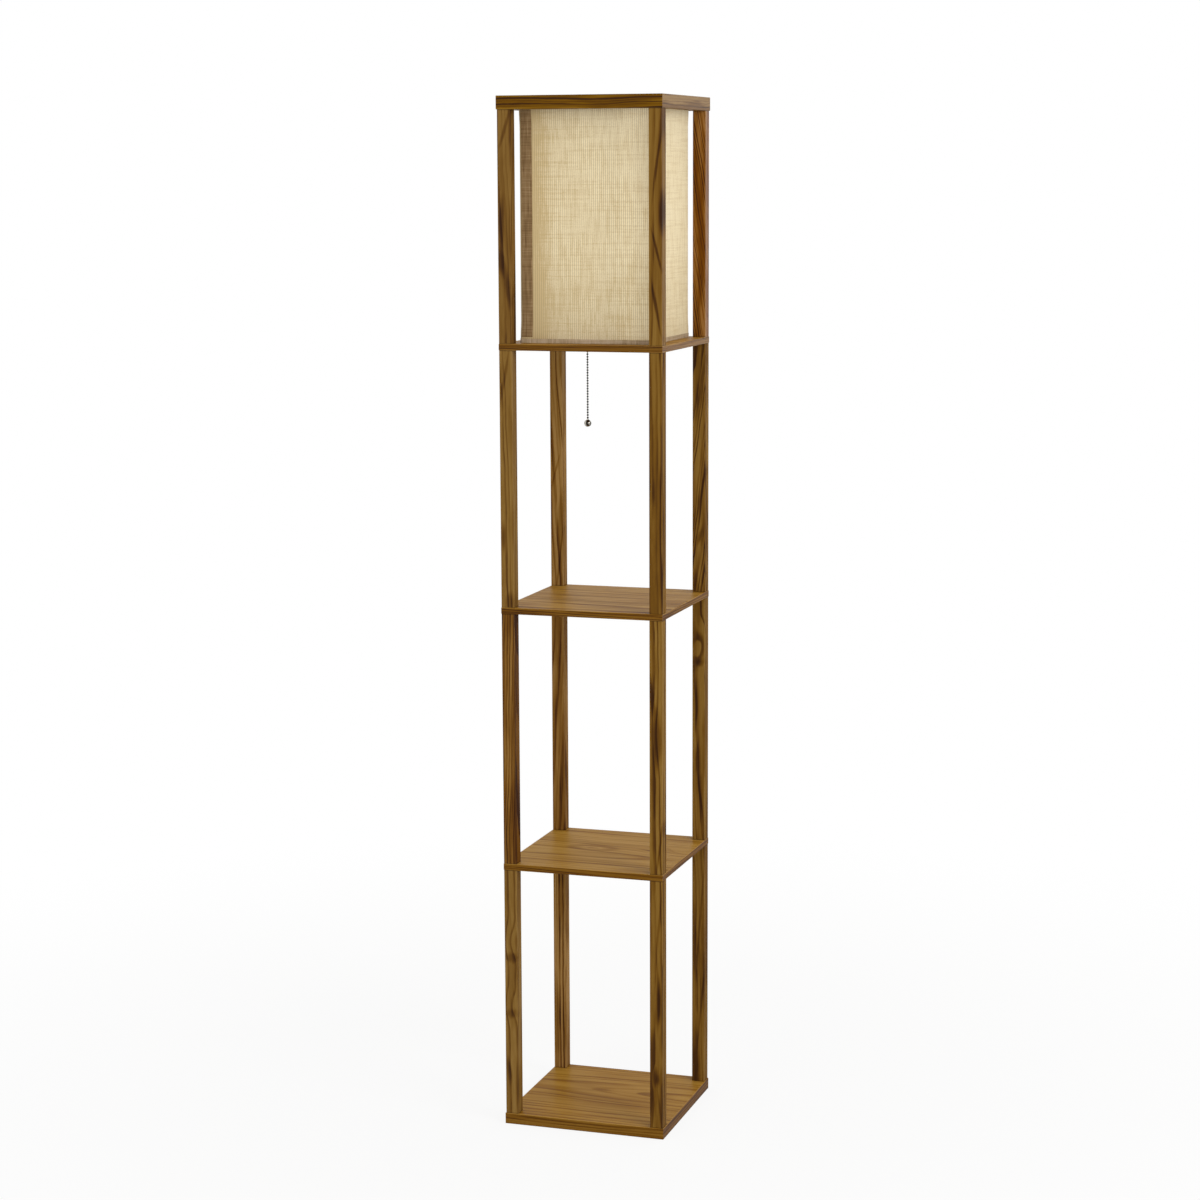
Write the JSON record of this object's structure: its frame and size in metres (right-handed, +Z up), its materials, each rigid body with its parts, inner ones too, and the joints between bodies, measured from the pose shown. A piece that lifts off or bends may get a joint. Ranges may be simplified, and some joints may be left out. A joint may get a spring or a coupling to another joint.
{
  "type": "shelf floor lamp",
  "caption": "Tall square shelf floor lamp: stacked wooden post sections between square shelves, a fabric box shade in the open top and a pull-chain switch under the lamp deck.",
  "frame": {"origin": "on the floor, under the middle of the square base plate", "axes": "+Z up, -Y towards the front face, +X to the right seen from the front"},
  "size_m": [0.26, 0.26, 1.6],
  "materials": {
    "walnut": "satin walnut-brown stain over long wavy grain",
    "zinc_steel": "zinc plated",
    "beech": "unfinished turned dowel",
    "felt": "dark brown pressed felt",
    "plated_steel": "yellow zinc plated",
    "black_plastic": "matte moulded",
    "nickel_shell": "nickel plated sheet",
    "fibre_board": "pressed fibre",
    "black_phenolic": "glossy moulded phenolic",
    "brass_contact": "bright spring brass",
    "nickel_chain": "polished nickel beads, darker between",
    "frosted_glass": "inside frosted",
    "bulb_metal": "plain screw cap",
    "linen": "slubby beige woven linen",
    "shade_backing": "translucent stiffening sheet",
    "wire_steel": "white coated wire"
  },
  "bodies": {
    "frame": {"base_plate": "walnut", "lower_shelf": "walnut", "middle_shelf": "walnut", "lamp_deck": "walnut", "lower_post_front_left": "walnut", "lower_post_front_right": "walnut", "lower_post_back_left": "walnut", "lower_post_back_right": "walnut", "middle_post_front_left": "walnut", "middle_post_front_right": "walnut", "middle_post_back_left": "walnut", "middle_post_back_right": "walnut", "upper_post_front_left": "walnut", "upper_post_front_right": "walnut", "upper_post_back_left": "walnut", "upper_post_back_right": "walnut", "shade_post_front_left": "walnut", "shade_post_front_right": "walnut", "shade_post_back_left": "walnut", "shade_post_back_right": "walnut", "top_rail_front": "walnut", "top_rail_right": "walnut", "top_rail_back": "walnut", "top_rail_left": "walnut", "connector_studs": "zinc_steel", "threaded_inserts": "zinc_steel", "base_screws": "zinc_steel", "top_dowels": "beech", "foot_pads": "felt", "hollow_nipple": "plated_steel", "nipple_nut": "plated_steel", "nut_washer": "plated_steel", "cap_nut": "plated_steel", "terminal_screws": "plated_steel", "cord_bushing": "black_plastic", "socket_cap": "nickel_shell", "socket_shell": "nickel_shell", "chain_arm": "nickel_shell", "socket_liner": "fibre_board", "switch_body": "black_phenolic", "screw_shell": "brass_contact", "centre_contact": "brass_contact", "chain_grommet": "nickel_chain"},
    "chain_top": {"chain_top": "nickel_chain"},
    "chain_middle": {"chain_middle": "nickel_chain"},
    "chain_end": {"chain_end": "nickel_chain", "end_ball": "nickel_chain"},
    "bulb_tip": {"bulb_contact": "brass_contact", "bulb_insulator": "black_phenolic"},
    "bulb": {"bulb_cap": "bulb_metal", "bulb_glass": "frosted_glass"},
    "shade": {"shade_fabric": "linen", "shade_liner": "shade_backing", "shade_hem_bottom": "linen", "shade_hem_top": "linen", "shade_seam": "linen", "shade_wire_top": "wire_steel", "shade_wire_bottom": "wire_steel"}
  },
  "joints": [
    {"name": "chain_pull", "type": "slide", "parent": "frame", "child": "chain_top", "axis": [0, 0, -1], "range_m": [0, 0.008], "stiffness_N_per_m": 400, "springref_m": -0.01},
    {"name": "chain_swing_sideways", "type": "hinge", "parent": "chain_top", "child": "chain_middle", "pos_m": [-0.03, 0, 1.21385], "axis": [0, 1, 0], "range_deg": [-25, 25]},
    {"name": "chain_swing_forwards", "type": "hinge", "parent": "chain_middle", "child": "chain_end", "pos_m": [-0.03, 0, 1.18925], "axis": [1, 0, 0], "range_deg": [-25, 25]},
    {"name": "bulb_rise", "type": "slide", "parent": "frame", "child": "bulb_tip", "axis": [0, 0, 1], "range_m": [0, 0.022]},
    {"name": "bulb_turn", "type": "hinge", "parent": "bulb_tip", "child": "bulb", "pos_m": [0, 0, 1.2708], "axis": [0, 0, 1], "range_deg": [0, 2160]},
    {"name": "shade_lift", "type": "slide", "parent": "frame", "child": "shade", "axis": [0, 0, 1], "range_m": [0, 0.38]}
  ],
  "couplings": [
    {"joint": "bulb_rise", "follows": "bulb_turn", "m_per_rad": 0.00057751}
  ]
}
